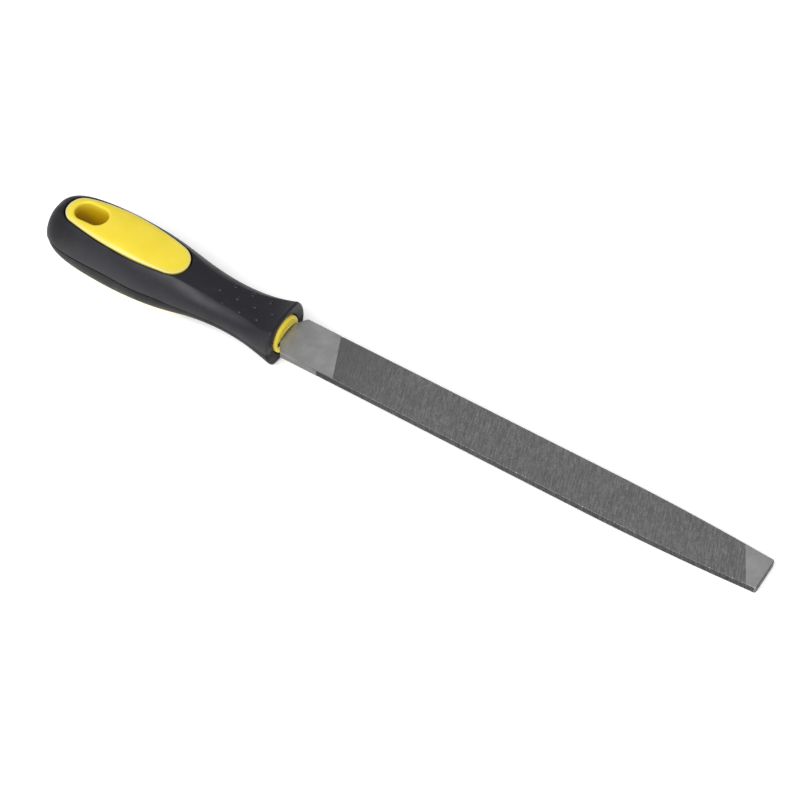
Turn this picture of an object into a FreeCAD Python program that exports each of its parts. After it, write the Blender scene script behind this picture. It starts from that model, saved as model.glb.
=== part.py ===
"""Flat file: a hand file with a two-component moulded handle.

Three pieces that come apart only by force:
  file_blade    tool-steel blade with its integral tang
  handle_core   hard plastic core: tang socket, nose collar, two windows, hanging hole
  handle_grip   soft rubber moulded over the core

Frame, in millimetres: the origin is the centre of the hanging hole, +X runs along the tool to the
blade's tip, +Y runs across the blade and +Z is square to the blade's cutting face.
"""
import FreeCAD, Part
import math
import os
import Sketcher

DIMENSIONS = [
    # blade
    ("heel_x", 93.3, "shoulder of the blade, where its full width starts"),
    ("blade_length", 200.0, "shoulder to tip"),
    ("blade_width", 19.1, "full width from the shoulder to where the taper starts"),
    ("blade_thickness", 3.2, "between the two cutting faces"),
    ("taper_length", 69.0, "length over which the two sides curve in to the tip"),
    ("tip_width", 14.3, "width of the squared tip"),
    ("tip_corner_radius", 0.8, "rounding of the two tip corners"),
    ("edge_break", 0.15, "broken edge round the tip face"),
    ("shoulder_depth", 3.0, "length over which the shoulders slope in to the tang"),
    ("tang_length", 58.0, "tang, from the foot of the shoulders"),
    ("tang_root_width", 10.6, "tang at the foot of the shoulders"),
    ("tang_tip_width", 3.2, "tang at its end"),
    ("tang_tip_thickness", 2.0, "tang at its end"),
    # handle, common to all its sections
    ("crown_radius", 45.0, "radius of the slight crown across the top and the underside"),
    ("lip_radius", 1.3, "rounding round the front lip"),
    ("grip_wall", 2.6, "thickness of the rubber over the core"),
    # rounded butt, from the belly back
    ("butt_end_x", -18.2, "rearmost point of the handle"),
    ("butt_fullness", 4.0, "exponent of the butt's rounding: 2 is an ellipse, more is squarer"),
    ("butt_flat_fullness", 1.75, "the same for the flat, which narrows sooner"),
    ("butt_corner_growth", 0.5, "how much softer the corner gets by the end of the butt"),
    # core
    ("nose_root_x", 86.9, "back of the nose collar"),
    ("nose_front_x", 90.3, "front face of the nose collar"),
    ("nose_radius", 7.8, "outside of the nose collar"),
    ("nose_rounding", 1.2, "rounding of the collar's outer edge"),
    ("nose_root_half_width", 7.2, "core where it meets the collar"),
    ("nose_root_half_height", 5.4, ""),
    ("nose_root_half_flat", 5.0, ""),
    ("nose_root_corner", 1.2, ""),
    ("mouth_width", 12.6, "oval mouth in the collar, round the tang"),
    ("mouth_height", 5.6, ""),
    ("mouth_depth", 3.3, ""),
    ("window_rear_x", -4.5, "centre of the window's rear end arc"),
    ("window_rear_radius", 7.1, ""),
    ("window_front_x", 37.5, "centre of the window's front end arc"),
    ("window_front_radius", 7.7, ""),
    ("window_side_radius", 105.0, "radius of the window's long sides"),
    ("hole_length", 14.4, "hanging hole, end to end along X"),
    ("hole_width", 8.8, "hanging hole, across"),
    ("hole_rounding", 1.0, "rounding of the hanging hole's two rims"),
    # raised dots on the thumb rest
    ("dot_radius", 0.85, ""),
    ("dot_height", 0.25, "how far a dot stands above the thumb rest"),
    ("dot_pitch", 7.94, "along X, within a row"),
    ("dot_row_offset", 4.75, "the two outer rows, each side of the centre line"),
    ("dot_first_x", 59.9, "the centre row's dot nearest the butt"),
]
# outside of the handle from the lip back to its fullest section: distance along X, half width, half height
# at the ends of the flat, half the flat's width, and the corner radius between flat and side
STATION_SIZES = ("x", "half_width", "half_height", "half_flat", "corner")
STATIONS = {
    "lip": (89.5, 12.8, 9.9, 9.1, 2.5),
    "flare": (84.3, 12.1, 7.9, 8.7, 2.0),
    "neck": (78.3, 11.2, 7.1, 7.2, 1.2),
    "waist": (65.3, 10.3, 6.8, 5.5, 1.2),
    "thumb": (53.3, 11.0, 8.0, 5.4, 1.2),
    "rise": (41.3, 12.4, 10.9, 7.0, 1.7),
    "front_belly": (27.3, 14.1, 12.8, 8.1, 3.5),
    "belly": (13.3, 13.8, 13.9, 8.7, 4.6),
}
CORE_STATIONS = ("neck", "waist", "thumb", "rise", "front_belly", "belly")
BUTT_STEPS = (0.3, 0.5, 0.65, 0.77, 0.86, 0.92, 0.96, 0.985, 0.998)
ACROSS = FreeCAD.Rotation(FreeCAD.Vector(1, 1, 1), 120)

for station, sizes in STATIONS.items():
    DIMENSIONS += [(f"{station}_{size}", value, "") for size, value in zip(STATION_SIZES, sizes)]

doc = FreeCAD.newDocument("flat_file")
sheet = doc.addObject("Spreadsheet::Sheet", "Dimensions")
for row, (alias, value, note) in enumerate(DIMENSIONS, start=1):
    sheet.set(f"A{row}", alias)
    sheet.set(f"B{row}", str(value))
    sheet.set(f"C{row}", note)
    sheet.setAlias(f"B{row}", alias)
doc.recompute()


def cell(alias):
    """A driving dimension's number."""
    return float(sheet.get(alias))


def bound(alias):
    """A driving dimension as it is written in an expression."""
    return f"Dimensions.{alias}"


def number(expression):
    """What an expression over the sheet comes to."""
    return float(sheet.evalExpression(expression))


def arc(centre_x, centre_y, radius, start, end):
    """A sketch arc, counterclockwise from start to end, in radians."""
    circle = Part.Circle(FreeCAD.Vector(centre_x, centre_y, 0), FreeCAD.Vector(0, 0, 1), radius)
    return Part.ArcOfCircle(circle, start, end)


def line(start, end):
    return Part.LineSegment(FreeCAD.Vector(*start, 0), FreeCAD.Vector(*end, 0))


def close_loop(sketch, count):
    """Join each of the first count pieces to the next, and the last to the first."""
    for index in range(count):
        sketch.addConstraint(Sketcher.Constraint("Coincident", index, 2, (index + 1) % count, 1))


def drive(sketch, constraint, name, expression):
    """Add a dimensional constraint, name it and bind it to an expression."""
    index = sketch.addConstraint(constraint)
    sketch.renameConstraint(index, name)
    sketch.setExpression(f"Constraints.{name}", expression)


# ---------------------------------------------------------------- handle sections

def section(name, x, half_width, half_height, half_flat, corner):
    """One cross-section of the handle, as eight tangent arcs, square to +X.

    Its top and bottom are slightly crowned flats that end at half_flat, its sides bulge from
    there to half_width, and a corner arc joins each flat to a side. All sizes are expressions.
    """
    sketch = doc.addObject("Sketcher::SketchObject", name)
    crown = cell("crown_radius")
    bulge_text = f"(({half_width}) - ({half_flat}))"
    side_text = f"({bulge_text}^2 + ({half_height})^2) / (2 * {bulge_text})"
    side_centre_text = f"({half_width}) - {side_text}"
    top_centre_text = f"({half_height}) - ({bound('crown_radius')}^2 - ({half_flat})^2)^0.5"
    side = number(side_text)
    side_centre = number(side_centre_text)
    top_centre = number(top_centre_text)
    radius = number(corner)
    # the corner arc's centre is where two circles about the other centres cross
    to_side = side - radius
    to_top = crown - radius
    spacing = math.hypot(side_centre, top_centre)
    along = (to_side ** 2 - to_top ** 2 + spacing ** 2) / (2 * spacing)
    off = math.sqrt(to_side ** 2 - along ** 2)
    unit_x = -side_centre / spacing
    unit_y = top_centre / spacing
    corner_x = side_centre + along * unit_x - off * unit_y
    corner_y = along * unit_y + off * unit_x
    if corner_y < 0:
        corner_x = side_centre + along * unit_x + off * unit_y
        corner_y = along * unit_y - off * unit_x
    low = math.atan2(corner_y, corner_x - side_centre)
    high = math.atan2(corner_y - top_centre, corner_x)
    half_turn = math.pi
    pieces = [
        (side_centre, 0, side, -low, low),
        (corner_x, corner_y, radius, low, high),
        (0, top_centre, crown, high, half_turn - high),
        (-corner_x, corner_y, radius, half_turn - high, half_turn - low),
        (-side_centre, 0, side, half_turn - low, half_turn + low),
        (-corner_x, -corner_y, radius, half_turn + low, half_turn + high),
        (0, -top_centre, crown, half_turn + high, 2 * half_turn - high),
        (corner_x, -corner_y, radius, 2 * half_turn - high, 2 * half_turn - low),
    ]
    for piece in pieces:
        sketch.addGeometry(arc(*piece))
    for index in range(8):
        sketch.addConstraint(Sketcher.Constraint("Tangent", index, 2, (index + 1) % 8, 1))
    sketch.addConstraint(Sketcher.Constraint("PointOnObject", 0, 3, -1))
    sketch.addConstraint(Sketcher.Constraint("PointOnObject", 2, 3, -2))
    for first, second in ((0, 4), (2, 6)):
        sketch.addConstraint(Sketcher.Constraint("Symmetric", first, 3, second, 3, -1, 1))
    for first, second in ((0, 4), (2, 6), (1, 3), (1, 5), (1, 7)):
        sketch.addConstraint(Sketcher.Constraint("Equal", first, second))
    sizes = [
        (Sketcher.Constraint("DistanceX", -1, 1, 0, 3, side_centre), "side_centre", side_centre_text),
        (Sketcher.Constraint("DistanceY", -1, 1, 2, 3, top_centre), "top_centre", top_centre_text),
        (Sketcher.Constraint("Radius", 0, side), "side", side_text),
        (Sketcher.Constraint("Radius", 2, crown), "crown", bound("crown_radius")),
        (Sketcher.Constraint("Radius", 1, radius), "corner", corner),
    ]
    for size in sizes:
        drive(sketch, *size)
    sketch.Placement = FreeCAD.Placement(FreeCAD.Vector(number(x), 0, 0), ACROSS)
    sketch.setExpression("Placement.Base.x", x)
    return sketch


def station_sections(prefix, stations, inset):
    """The full sections of the handle, each drawn in by the inset."""
    sections = []
    for station in stations:
        sizes = [f"{bound(f'{station}_{size}')} - {inset}" for size in STATION_SIZES[1:4]]
        corner = bound(f"{station}_corner")
        sections.append(section(f"{prefix}_{station}", bound(f"{station}_x"), *sizes, corner))
    return sections


def butt_sections(prefix, inset):
    """The shrinking sections that round the butt off from the belly, out to a small flat end."""
    sections = []
    for index, step in enumerate(BUTT_STEPS, start=1):
        shrink, flat_shrink = [
            f"(1 - {step}^{power})^(1 / {power})"
            for power in (bound("butt_fullness"), bound("butt_flat_fullness"))
        ]
        x = f"{bound('belly_x')} - ({bound('belly_x')} - {bound('butt_end_x')} - {inset}) * {step}"
        sizes = [
            f"({bound('belly_half_width')} - {inset}) * {shrink}",
            f"({bound('belly_half_height')} - {inset}) * {shrink}",
            f"({bound('belly_half_flat')} - {inset}) * {flat_shrink}",
        ]
        corner = f"{bound('belly_corner')} * (1 + {bound('butt_corner_growth')} * {step}) * {shrink}"
        sections.append(section(f"{prefix}_butt_{index}", x, *sizes, corner))
    return sections


def loft(name, sections):
    solid = doc.addObject("Part::Loft", name)
    solid.Sections = sections
    solid.Solid = True
    solid.Ruled = False
    return solid


def rounded(name, base, radius_alias, wanted):
    """A copy of base with the wanted edges rounded."""
    radius = cell(radius_alias)
    edges = [index for index, edge in enumerate(base.Shape.Edges, start=1) if wanted(edge)]
    fillet = doc.addObject("Part::Fillet", name)
    fillet.Base = base
    fillet.Edges = [(index, radius, radius) for index in edges]
    return fillet


def boolean(kind, name, base, tool):
    result = doc.addObject(kind, name)
    result.Base = base
    result.Tool = tool
    return result


def prism(name, sketch):
    """A closed sketch on the XY plane, carried through the whole handle."""
    solid = doc.addObject("Part::Extrusion", name)
    solid.Base = sketch
    solid.Dir = FreeCAD.Vector(0, 0, 1)
    solid.Solid = True
    solid.Symmetric = True
    solid.setExpression("LengthFwd", f"4 * {bound('belly_half_height')}")
    return solid


envelope_sections = station_sections("outside", STATIONS, "0") + butt_sections("outside", "0")
envelope_sharp = loft("envelope_sharp", envelope_sections)
doc.recompute()


def is_on_front(edge):
    """An edge of a face that is square to +X at the front lip."""
    return edge.BoundBox.XLength < 0.01 and edge.BoundBox.XMin > cell("flare_x")


def is_on_nose_front(edge):
    return edge.BoundBox.XLength < 0.01 and edge.BoundBox.XMin > cell("lip_x")


envelope = rounded("envelope", envelope_sharp, "lip_radius", is_on_front)

# ---------------------------------------------------------------- windows and hanging hole

def egg_sketch(name, rear_x, rear_radius, front_x, front_radius, side_radius):
    """A closed outline of two end arcs on the centre line joined by two long tangent side arcs."""
    sketch = doc.addObject("Sketcher::SketchObject", name)
    rear = cell(rear_x)
    front = cell(front_x)
    rear_r = cell(rear_radius)
    front_r = cell(front_radius)
    side = cell(side_radius)
    spacing = front - rear
    offset = ((side - rear_r) ** 2 - (side - front_r) ** 2 + spacing ** 2) / (2 * spacing)
    drop = math.sqrt((side - rear_r) ** 2 - offset ** 2)
    to_rear = math.atan2(drop, -offset)
    to_front = math.atan2(drop, spacing - offset)
    sketch.addGeometry(arc(rear, 0, rear_r, to_rear, 2 * math.pi - to_rear))
    sketch.addGeometry(arc(rear + offset, drop, side, 2 * math.pi - to_rear, 2 * math.pi - to_front))
    sketch.addGeometry(arc(front, 0, front_r, -to_front, to_front))
    sketch.addGeometry(arc(rear + offset, -drop, side, to_front, to_rear))
    for index in range(4):
        sketch.addConstraint(Sketcher.Constraint("Tangent", index, 2, (index + 1) % 4, 1))
    sketch.addConstraint(Sketcher.Constraint("PointOnObject", 0, 3, -1))
    sketch.addConstraint(Sketcher.Constraint("PointOnObject", 2, 3, -1))
    sketch.addConstraint(Sketcher.Constraint("Equal", 1, 3))
    drive(sketch, Sketcher.Constraint("DistanceX", -1, 1, 0, 3, rear), "rear", bound(rear_x))
    drive(sketch, Sketcher.Constraint("DistanceX", -1, 1, 2, 3, front), "front", bound(front_x))
    drive(sketch, Sketcher.Constraint("Radius", 0, rear_r), "rear_radius", bound(rear_radius))
    drive(sketch, Sketcher.Constraint("Radius", 2, front_r), "front_radius", bound(front_radius))
    drive(sketch, Sketcher.Constraint("Radius", 1, side), "side_radius", bound(side_radius))
    return sketch


def slot_sketch(name, length_alias, width_alias):
    """A slot with round ends, centred on the origin and long along the sketch's first axis."""
    sketch = doc.addObject("Sketcher::SketchObject", name)
    end = cell(width_alias) / 2
    half_run = cell(length_alias) / 2 - end
    sketch.addGeometry(arc(half_run, 0, end, -math.pi / 2, math.pi / 2))
    sketch.addGeometry(line((half_run, end), (-half_run, end)))
    sketch.addGeometry(arc(-half_run, 0, end, math.pi / 2, 1.5 * math.pi))
    sketch.addGeometry(line((-half_run, -end), (half_run, -end)))
    for index in range(4):
        sketch.addConstraint(Sketcher.Constraint("Tangent", index, 2, (index + 1) % 4, 1))
    sketch.addConstraint(Sketcher.Constraint("Symmetric", 0, 3, 2, 3, -1, 1))
    sketch.addConstraint(Sketcher.Constraint("PointOnObject", 0, 3, -1))
    sketch.addConstraint(Sketcher.Constraint("Equal", 0, 2))
    run_text = f"{bound(length_alias)} / 2 - {bound(width_alias)} / 2"
    drive(sketch, Sketcher.Constraint("DistanceX", -1, 1, 0, 3, half_run), "half_run", run_text)
    drive(sketch, Sketcher.Constraint("Radius", 0, end), "end_radius", f"{bound(width_alias)} / 2")
    return sketch


window_outline = egg_sketch(
    "window_outline", "window_rear_x", "window_rear_radius",
    "window_front_x", "window_front_radius", "window_side_radius",
)
window_prism = prism("window_prism", window_outline)
hole_outline = slot_sketch("hanging_hole_outline", "hole_length", "hole_width")
hole_prism = prism("hanging_hole", hole_outline)
windows = boolean("Part::Common", "windows", envelope, window_prism)

# ---------------------------------------------------------------- blade

def plane_of(body, role):
    """One of a body's own origin planes."""
    return next(feature for feature in body.Origin.OriginFeatures if feature.Role == role)


def body_sketch(body, name, role):
    sketch = body.newObject("Sketcher::SketchObject", name)
    sketch.AttachmentSupport = (plane_of(body, role), "")
    sketch.MapMode = "FlatFace"
    return sketch


def file_blade():
    """The blade and its tang, forged in one piece and ground flat on both cutting faces."""
    body = doc.addObject("PartDesign::Body", "file_blade")
    outline = body_sketch(body, "blade_outline", "XY_Plane")
    heel = cell("heel_x")
    tip = heel + cell("blade_length")
    taper = tip - cell("taper_length")
    root = heel - cell("shoulder_depth")
    end = root - cell("tang_length")
    half = cell("blade_width") / 2
    tip_half = cell("tip_width") / 2
    root_half = cell("tang_root_width") / 2
    end_half = cell("tang_tip_width") / 2
    narrowing = half - tip_half
    sweep = (cell("taper_length") ** 2 + narrowing ** 2) / (2 * narrowing)
    sweep_angle = math.asin(cell("taper_length") / sweep)
    outline.addGeometry(line((end, -end_half), (root, -root_half)))
    outline.addGeometry(line((root, -root_half), (heel, -half)))
    outline.addGeometry(line((heel, -half), (taper, -half)))
    outline.addGeometry(arc(taper, sweep - half, sweep, 1.5 * math.pi, 1.5 * math.pi + sweep_angle))
    outline.addGeometry(line((tip, -tip_half), (tip, tip_half)))
    outline.addGeometry(arc(taper, half - sweep, sweep, math.pi / 2 - sweep_angle, math.pi / 2))
    outline.addGeometry(line((taper, half), (heel, half)))
    outline.addGeometry(line((heel, half), (root, root_half)))
    outline.addGeometry(line((root, root_half), (end, end_half)))
    outline.addGeometry(line((end, end_half), (end, -end_half)))
    close_loop(outline, 10)
    for near, far in ((0, 8), (1, 7), (2, 6)):
        outline.addConstraint(Sketcher.Constraint("Symmetric", near, 1, far, 2, -1))
    outline.addConstraint(Sketcher.Constraint("Symmetric", 3, 1, 5, 2, -1))
    outline.addConstraint(Sketcher.Constraint("Symmetric", 4, 1, 4, 2, -1))
    outline.addConstraint(Sketcher.Constraint("Vertical", 3, 1, 3, 3))
    outline.addConstraint(Sketcher.Constraint("Equal", 3, 5))
    root_text = f"{bound('heel_x')} - {bound('shoulder_depth')}"
    tip_text = f"{bound('heel_x')} + {bound('blade_length')}"
    places = [
        ("tang_end", 0, f"{root_text} - {bound('tang_length')}", "tang_tip_width"),
        ("tang_root", 1, root_text, "tang_root_width"),
        ("shoulder", 2, bound("heel_x"), "blade_width"),
        ("taper", 3, f"{tip_text} - {bound('taper_length')}", "blade_width"),
        ("tip", 4, tip_text, "tip_width"),
    ]
    for name, geometry, along, width in places:
        across = f"{bound(width)} / 2"
        far_along = Sketcher.Constraint("DistanceX", -1, 1, geometry, 1, number(along))
        far_across = Sketcher.Constraint("DistanceY", geometry, 1, -1, 1, number(across))
        drive(outline, far_along, f"{name}_x", along)
        drive(outline, far_across, f"{name}_half", across)
    stock = body.newObject("PartDesign::Pad", "blade_stock")
    stock.Profile = outline
    stock.SideType = "Symmetric"
    stock.setExpression("Length", bound("blade_thickness"))
    doc.recompute()

    # two wedges thin the tang evenly towards its end
    wedges = body_sketch(body, "tang_wedges", "XZ_Plane")
    face = cell("blade_thickness") / 2
    end_face = cell("tang_tip_thickness") / 2
    for first, side in ((0, 1), (3, -1)):
        corners = [(root, side * face), (end, side * face), (end, side * end_face)]
        for start in range(3):
            wedges.addGeometry(line(corners[start], corners[(start + 1) % 3]))
        for start in range(3):
            joint = Sketcher.Constraint("Coincident", first + start, 2, first + (start + 1) % 3, 1)
            wedges.addConstraint(joint)
    sizes = [
        (Sketcher.Constraint("DistanceX", -1, 1, 0, 1, root), "root_x", root_text),
        (Sketcher.Constraint("DistanceY", -1, 1, 0, 1, face), "face", f"{bound('blade_thickness')} / 2"),
        (Sketcher.Constraint("DistanceY", -1, 1, 2, 1, end_face), "end_face",
         f"{bound('tang_tip_thickness')} / 2"),
        (Sketcher.Constraint("DistanceX", 0, 2, 0, 1, root - end), "tang", bound("tang_length")),
    ]
    for size in sizes:
        drive(wedges, *size)
    wedges.addConstraint(Sketcher.Constraint("Horizontal", 0))
    wedges.addConstraint(Sketcher.Constraint("Vertical", 1))
    for point in (0, 1, 2):
        wedges.addConstraint(Sketcher.Constraint("Symmetric", point, 1, point + 3, 1, -1))
    thinning = body.newObject("PartDesign::Pocket", "tang_thinning")
    thinning.Profile = wedges
    thinning.Type = "ThroughAll"
    thinning.SideType = "Symmetric"
    doc.recompute()

    corners = [
        f"Edge{index}" for index, edge in enumerate(thinning.Shape.Edges, start=1)
        if edge.BoundBox.XMin > tip - 0.01 and edge.BoundBox.YLength < 0.01
    ]
    rounding = body.newObject("PartDesign::Fillet", "tip_corners")
    rounding.Base = (thinning, corners)
    rounding.setExpression("Radius", bound("tip_corner_radius"))
    doc.recompute()
    rims = [
        f"Edge{index}" for index, edge in enumerate(rounding.Shape.Edges, start=1)
        if edge.BoundBox.XMin > tip - 0.01 and edge.BoundBox.ZLength < 0.01
    ]
    broken = body.newObject("PartDesign::Chamfer", "tip_edge_break")
    broken.Base = (rounding, rims)
    broken.setExpression("Size", bound("edge_break"))
    return body


blade = file_blade()
doc.recompute()

# ---------------------------------------------------------------- handle core

core_sections = station_sections("core", ["nose_root"], "0")
core_sections += station_sections("core", CORE_STATIONS, bound("grip_wall"))
core_sections += butt_sections("core", bound("grip_wall"))
core_barrel = loft("core_barrel", core_sections)

collar = doc.addObject("Part::Cylinder", "nose_collar")
collar.setExpression("Radius", bound("nose_radius"))
collar.setExpression("Height", f"{bound('nose_front_x')} - {bound('nose_root_x')}")
collar.Placement = FreeCAD.Placement(FreeCAD.Vector(cell("nose_root_x"), 0, 0), ACROSS)
collar.setExpression("Placement.Base.x", bound("nose_root_x"))
doc.recompute()
collar_rounded = rounded("nose_collar_rounded", collar, "nose_rounding", is_on_nose_front)

core_blank = doc.addObject("Part::MultiFuse", "core_blank")
core_blank.Shapes = [core_barrel, windows, collar_rounded]
doc.recompute()

mouth_outline = slot_sketch("nose_mouth_outline", "mouth_width", "mouth_height")
mouth_outline.Placement = FreeCAD.Placement(FreeCAD.Vector(cell("nose_front_x"), 0, 0), ACROSS)
mouth_outline.setExpression("Placement.Base.x", bound("nose_front_x"))
mouth = doc.addObject("Part::Extrusion", "nose_mouth")
mouth.Base = mouth_outline
mouth.Dir = FreeCAD.Vector(-1, 0, 0)
mouth.Solid = True
mouth.setExpression("LengthFwd", bound("mouth_depth"))
doc.recompute()

core_holed = boolean("Part::Cut", "core_with_hanging_hole", core_blank, hole_prism)
core_mouthed = boolean("Part::Cut", "core_with_mouth", core_holed, mouth)
doc.recompute()


def is_on_hole_rim(edge):
    """An edge where the hanging hole comes out through the top or the underside."""
    box = edge.BoundBox
    reach = cell("hole_length") / 2 + 0.01
    inside = abs(box.XMin) < reach and abs(box.XMax) < reach
    narrow = max(abs(box.YMin), abs(box.YMax)) < cell("hole_width") / 2 + 0.01
    return inside and narrow and box.ZLength < cell("hole_rounding")


core_softened = rounded("core_softened", core_mouthed, "hole_rounding", is_on_hole_rim)
doc.recompute()
core = boolean("Part::Cut", "handle_core", core_softened, blade)

# ---------------------------------------------------------------- grip


def surface_height(x, y):
    """How high the outside of the handle stands at a point of its plan."""
    top = 2 * cell("belly_half_height")
    probe = Part.makeLine(FreeCAD.Vector(x, y, 0), FreeCAD.Vector(x, y, top))
    return envelope.Shape.common(probe).BoundBox.ZMax


def dot(name, x_text, y_text, side):
    """A low domed dot on the top (side 1) or the underside (side -1)."""
    x = number(x_text)
    y = number(y_text)
    rise = cell("dot_height")
    ball = doc.addObject("Part::Sphere", name)
    radius_text = f"({bound('dot_radius')}^2 + {bound('dot_height')}^2) / (2 * {bound('dot_height')})"
    ball.setExpression("Radius", radius_text)
    depth = side * (surface_height(x, y) + rise - number(radius_text))
    ball.Placement = FreeCAD.Placement(FreeCAD.Vector(x, y, depth), FreeCAD.Rotation())
    ball.setExpression("Placement.Base.x", x_text)
    ball.setExpression("Placement.Base.y", y_text)
    return ball


def thumb_dots():
    """Three staggered rows of dots: four on the centre line and three each side of it."""
    dots = []
    for side, side_name in ((1, "top"), (-1, "under")):
        for row, row_name in ((0, "middle"), (1, "left"), (-1, "right")):
            count = 4 - abs(row)
            for index in range(count):
                steps = index + abs(row) / 2
                x_text = f"{bound('dot_first_x')} + {steps} * {bound('dot_pitch')}"
                y_text = f"{row} * {bound('dot_row_offset')}"
                dots.append(dot(f"dot_{side_name}_{row_name}_{index + 1}", x_text, y_text, side))
    return dots


envelope_dotted = doc.addObject("Part::MultiFuse", "envelope_with_dots")
envelope_dotted.Shapes = [envelope] + thumb_dots()
doc.recompute()
grip = boolean("Part::Cut", "handle_grip", envelope_dotted, core_blank)
doc.recompute()

# ---------------------------------------------------------------- checks and files

for item in doc.Objects:
    if "Invalid" in item.State or "Error" in item.State:
        raise RuntimeError(f"{item.Name} failed to compute: {item.State}")

SUB_PARTS = {"file_blade": blade, "handle_core": core, "handle_grip": grip}
for name, item in SUB_PARTS.items():
    item.Label = name
    shape = item.Shape
    if shape.isNull() or not shape.isValid() or len(shape.Solids) != 1:
        raise RuntimeError(f"{name} is not one valid solid")
    print(f"{name}: {shape.Volume:.0f} cubic mm")

os.makedirs("parts", exist_ok=True)
for name, item in SUB_PARTS.items():
    item.Shape.exportStep(f"parts/{name}.step")
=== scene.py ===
"""Flat file: its looks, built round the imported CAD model.

Mesh code works in millimetres in the CAD frame: the origin is the centre of the hanging hole, +X points
to the blade's tip and +Z is square to the cutting faces. Every mesh is scaled to metres as it is made.
"""
import bmesh
import bpy
import math
import numpy as np
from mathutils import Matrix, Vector
from mathutils.geometry import delaunay_2d_cdt


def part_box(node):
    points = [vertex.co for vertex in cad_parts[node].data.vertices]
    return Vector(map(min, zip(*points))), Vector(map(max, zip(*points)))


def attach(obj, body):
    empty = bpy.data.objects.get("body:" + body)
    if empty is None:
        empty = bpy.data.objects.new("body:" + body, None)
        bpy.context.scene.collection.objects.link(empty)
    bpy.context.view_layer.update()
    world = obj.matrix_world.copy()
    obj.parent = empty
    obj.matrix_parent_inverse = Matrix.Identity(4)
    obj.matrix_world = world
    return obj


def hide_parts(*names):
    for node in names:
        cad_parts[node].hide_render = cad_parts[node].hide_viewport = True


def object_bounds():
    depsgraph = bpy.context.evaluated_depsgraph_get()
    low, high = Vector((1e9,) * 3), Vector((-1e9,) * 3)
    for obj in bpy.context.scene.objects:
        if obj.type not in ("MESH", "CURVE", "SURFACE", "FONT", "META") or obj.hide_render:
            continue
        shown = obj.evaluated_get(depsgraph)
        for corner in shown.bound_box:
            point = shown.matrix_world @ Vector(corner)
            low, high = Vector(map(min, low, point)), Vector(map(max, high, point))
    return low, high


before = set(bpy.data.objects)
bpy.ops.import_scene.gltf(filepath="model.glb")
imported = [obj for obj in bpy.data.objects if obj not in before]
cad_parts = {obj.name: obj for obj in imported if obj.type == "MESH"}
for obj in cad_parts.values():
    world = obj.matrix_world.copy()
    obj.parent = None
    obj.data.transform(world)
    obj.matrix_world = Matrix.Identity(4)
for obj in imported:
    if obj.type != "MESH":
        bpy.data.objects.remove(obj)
cad_low, cad_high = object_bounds()
scene = bpy.context.scene
MM = 0.001

# ---------------------------------------------------------------- measures, in millimetres

blade_low, blade_high = (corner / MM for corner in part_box("file_blade"))
TANG_END = blade_low.x
TIP = blade_high.x
BLADE_HALF_WIDTH = blade_high.y
BLADE_HALF_THICKNESS = blade_high.z
BLADE_LENGTH = 200.0
HEEL = TIP - BLADE_LENGTH
TANG_ROOT = HEEL - 3.0
TANG_ROOT_HALF_WIDTH = 5.3
TANG_END_HALF_WIDTH = 1.6
TANG_END_HALF_THICKNESS = 1.0
TAPER_LENGTH = 69.0
TIP_HALF_WIDTH = 7.15
TIP_CORNER_RADIUS = 0.8

# the cut teeth on the two wide faces
UPCUT_PITCH = 0.62
UPCUT_TURN = math.radians(20)
OVERCUT_PITCH = 0.78
OVERCUT_TURN = math.radians(-45)
CREST_SHARE = 0.8
GROOVE_SHARE = 0.3
UPCUT_DEPTH = 0.2
OVERCUT_DEPTH = 0.13
# how uneven they are: the share of depth that varies, every second row's drop, wear by patch and by tooth
UPCUT_SPREAD = 0.15
ROW_DROP = 0.08
PATCH_WEAR = 0.03
TOOTH_WEAR = 0.06
TEETH_HEEL_LINE = ((HEEL + 15.0, 9.6), (HEEL + 23.4, -9.0))
TEETH_TIP_LINE = ((TIP - 11.7, 7.15), (TIP - 3.9, -7.3))
# the single cut on the two narrow edges
EDGE_PITCH = 0.75
EDGE_DEPTH = 0.13
EDGE_SLANT = 0.25
EDGE_TEETH_START = HEEL + 16.3
EDGE_TEETH_END = TIP - 0.9
# the broken edges all round
ARRIS_DROP = 0.15
ARRIS_WIDTH = 0.25
TOOTH_INSET = ARRIS_WIDTH + 0.05
# how far the smooth plates at heel and tip stay clear of the teeth
HEEL_PLATE_GAP = 0.06
TIP_PLATE_GAP = 0.4
# the blade's materials, in the order of its slots
# the two edge steels are darker copies of the face steels: painted shade on the narrow sides and on the
# bevel round the smooth plates
GROUND_FACE, CUT_FACE, SHADED_CUT_EDGE, SHADED_GROUND_EDGE, WORN_ARRIS = range(5)

# handle stations from the belly to the lip: distance along X, half width, half height at the ends of the
# flat, half width of the flat, corner radius
STATIONS = (
    (13.3, 13.8, 13.9, 8.7, 4.6),
    (27.3, 14.1, 12.8, 8.1, 3.5),
    (41.3, 12.4, 10.9, 7.0, 1.7),
    (53.3, 11.0, 8.0, 5.4, 1.2),
    (65.3, 10.3, 6.8, 5.5, 1.2),
    (78.3, 11.2, 7.1, 7.2, 1.2),
    (84.3, 12.1, 7.9, 8.7, 2.0),
    (89.5, 12.8, 9.9, 9.1, 2.5),
)
CROWN_RADIUS = 45.0
BUTT_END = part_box("handle_grip")[0].x / MM
BUTT_POWER = 4.0
BUTT_FLAT_POWER = 1.75
BUTT_CORNER_GROWTH = 0.5
GRIP_WALL = 2.6
LIP_ROUNDING = 1.3
# nose of the core: back of the collar, then the core's sizes there
NOSE_ROOT = (86.9, 7.2, 5.4, 5.0, 1.2)
NOSE_FRONT = 90.3
NOSE_RADIUS = 7.8
NOSE_ROUNDING = 1.2
COLLAR_GAP = 0.4
COLLAR_POINTS = 96
MOUTH_HALF_WIDTH = 6.3
MOUTH_HALF_HEIGHT = 2.8
MOUTH_ROUNDING = 0.3
MOUTH_GROOVE_DEPTH = 0.35
MOUTH_DEPTH = 3.3
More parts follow.
